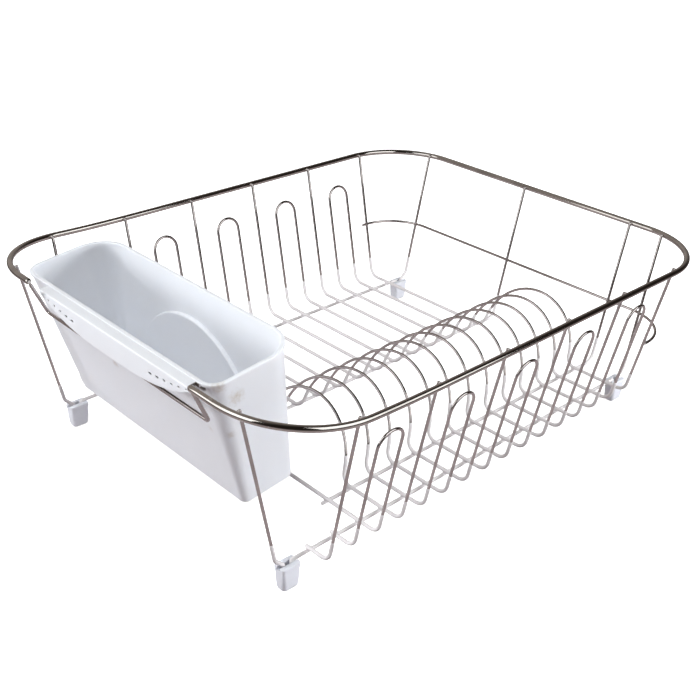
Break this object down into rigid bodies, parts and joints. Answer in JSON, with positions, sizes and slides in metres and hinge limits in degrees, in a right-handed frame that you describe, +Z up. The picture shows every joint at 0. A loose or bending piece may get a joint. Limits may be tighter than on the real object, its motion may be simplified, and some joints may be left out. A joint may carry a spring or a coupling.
{
  "type": "dish drainer",
  "caption": "Chromed wire dish drainer with a white dipped base, leaning plate arches, hairpin side wires, four feet and a lift-off cutlery cup at its open end.",
  "frame": {"origin": "on the table under the middle of the rack, midway between the first and the last cross wire", "axes": "+X runs along the rack away from the cup end, +Y from the plate arches at the front to the back, +Z up"},
  "size_m": [0.4922, 0.3926, 0.1639],
  "materials": {
    "chrome": "bright plated",
    "dipped_wire": "chromed steel wire dipped in glossy white plastic below",
    "foot_plastic": "satin moulded",
    "cup_plastic": "satin moulded"
  },
  "bodies": {
    "rack": {"rim": "chrome", "cup_carrier": "chrome", "end_guard": "chrome", "frame_wire_front": "dipped_wire", "frame_wire_back": "dipped_wire", "floor_rod_middle": "dipped_wire", "floor_rod_front": "dipped_wire", "cross_wire_01_front": "dipped_wire", "cross_wire_01_back": "dipped_wire", "cross_wire_02_03": "dipped_wire", "cross_wire_04": "dipped_wire", "cross_wire_05_06": "dipped_wire", "cross_wire_07": "dipped_wire", "cross_wire_08_09": "dipped_wire", "cross_wire_10": "dipped_wire", "cross_wire_11_12": "dipped_wire", "cross_wire_13": "dipped_wire", "cross_wire_14_15": "dipped_wire", "cross_wire_16": "dipped_wire", "foot_front_left": "foot_plastic", "foot_front_right": "foot_plastic", "foot_back_left": "foot_plastic", "foot_back_right": "foot_plastic"},
    "cup": {"cutlery_cup": "cup_plastic"}
  },
  "joints": [
    {"name": "cup_lift", "type": "slide", "parent": "rack", "child": "cup", "axis": [0, 0, 1], "range_m": [0, 0.14]}
  ]
}
